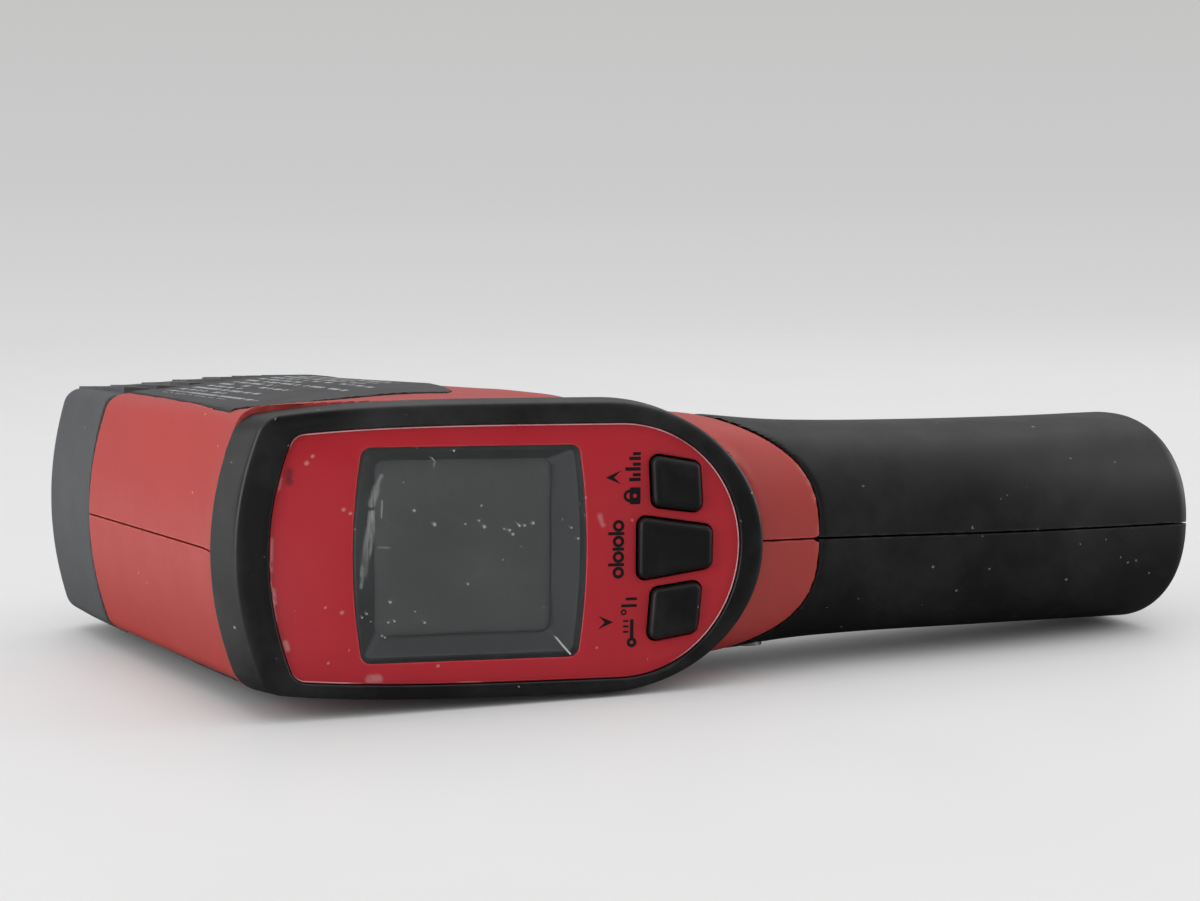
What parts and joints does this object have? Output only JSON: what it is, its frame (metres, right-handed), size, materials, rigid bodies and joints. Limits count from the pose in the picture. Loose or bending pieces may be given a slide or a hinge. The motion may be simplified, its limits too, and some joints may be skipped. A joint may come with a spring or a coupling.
{
  "type": "infrared thermometer",
  "caption": "Pistol-grip infrared thermometer with a round sensing aperture, tilted display panel, three keys, hinged trigger and front battery door.",
  "frame": {"origin": "on the lens axis, at the front rim of the sensing aperture", "axes": "+Y is the aiming direction, +X runs from the head towards the end of the handle, +Z is the right side of the body; the object lies on its left side"},
  "size_m": [0.1577, 0.1179, 0.0436],
  "materials": {
    "red_shell": "fine satin texture",
    "grip_black": "matte soft-touch",
    "boot_grey": "matte soft-touch",
    "label_black": "matte",
    "bezel_black": "satin",
    "faceplate_red": "gloss film",
    "window_clear": "clear",
    "frame_dark": "matte",
    "lcd_grey": "smooth",
    "backlight_white": "matte",
    "board_green": "solder resist",
    "switch_black": "matte",
    "key_black": "satin rubber",
    "optic_black": "matte",
    "lens_ir": "polished",
    "sensor_steel": "satin",
    "brass": "turned",
    "laser_glass": "polished",
    "trigger_black": "satin",
    "steel": "zinc plated",
    "battery_case": "satin",
    "wire_red": "gloss",
    "foam_grey": "open-cell foam"
  },
  "bodies": {
    "root": {"housing_right": "red_shell", "housing_left": "red_shell", "grip_cover_right": "grip_black", "grip_cover_left": "grip_black", "nose_boot": "boot_grey", "nose_plate": "optic_black", "side_label_right": "label_black", "side_label_left": "label_black", "rear_bezel": "bezel_black", "faceplate": "faceplate_red", "display_window": "window_clear", "display_frame": "frame_dark", "lcd_module": "lcd_grey", "backlight": "backlight_white", "main_board": "board_green", "tact_switches": "switch_black", "buzzer": "switch_black", "board_screws": "steel", "lens_tube": "optic_black", "lens_ring": "optic_black", "ir_lens": "lens_ir", "thermopile_sensor": "sensor_steel", "sensor_board": "board_green", "laser_module": "brass", "laser_window": "laser_glass", "trigger_pin": "steel", "trigger_spring": "steel", "trigger_switch": "switch_black", "door_pin": "steel", "battery_9v": "battery_case", "battery_snap": "switch_black", "battery_leads": "wire_red", "housing_screws": "steel"},
    "trigger": {"trigger": "trigger_black"},
    "key_up": {"key_up": "key_black"},
    "key_mode": {"key_mode": "key_black"},
    "key_down": {"key_down": "key_black"},
    "battery_door": {"battery_door": "grip_black", "battery_pad": "foam_grey"}
  },
  "joints": [
    {"name": "trigger_pull", "type": "hinge", "parent": "root", "child": "trigger", "pos_m": [0.0405, -0.082, 0], "axis": [0, 0, -1], "range_deg": [0, 8], "stiffness_Nm_per_rad": 0.15, "springref_deg": -5.73, "deforming": ["trigger_spring"]},
    {"name": "key_up_press", "type": "slide", "parent": "root", "child": "key_up", "axis": [0.2756, 0.9613, 0], "range_m": [0, 0.0006]},
    {"name": "key_mode_press", "type": "slide", "parent": "root", "child": "key_mode", "axis": [0.2756, 0.9613, 0], "range_m": [0, 0.0006]},
    {"name": "key_down_press", "type": "slide", "parent": "root", "child": "key_down", "axis": [0.2756, 0.9613, 0], "range_m": [0, 0.0006]},
    {"name": "door_open", "type": "hinge", "parent": "root", "child": "battery_door", "pos_m": [0.12752, -0.08777, 0], "axis": [0, 0, -1], "range_deg": [0, 55]}
  ]
}
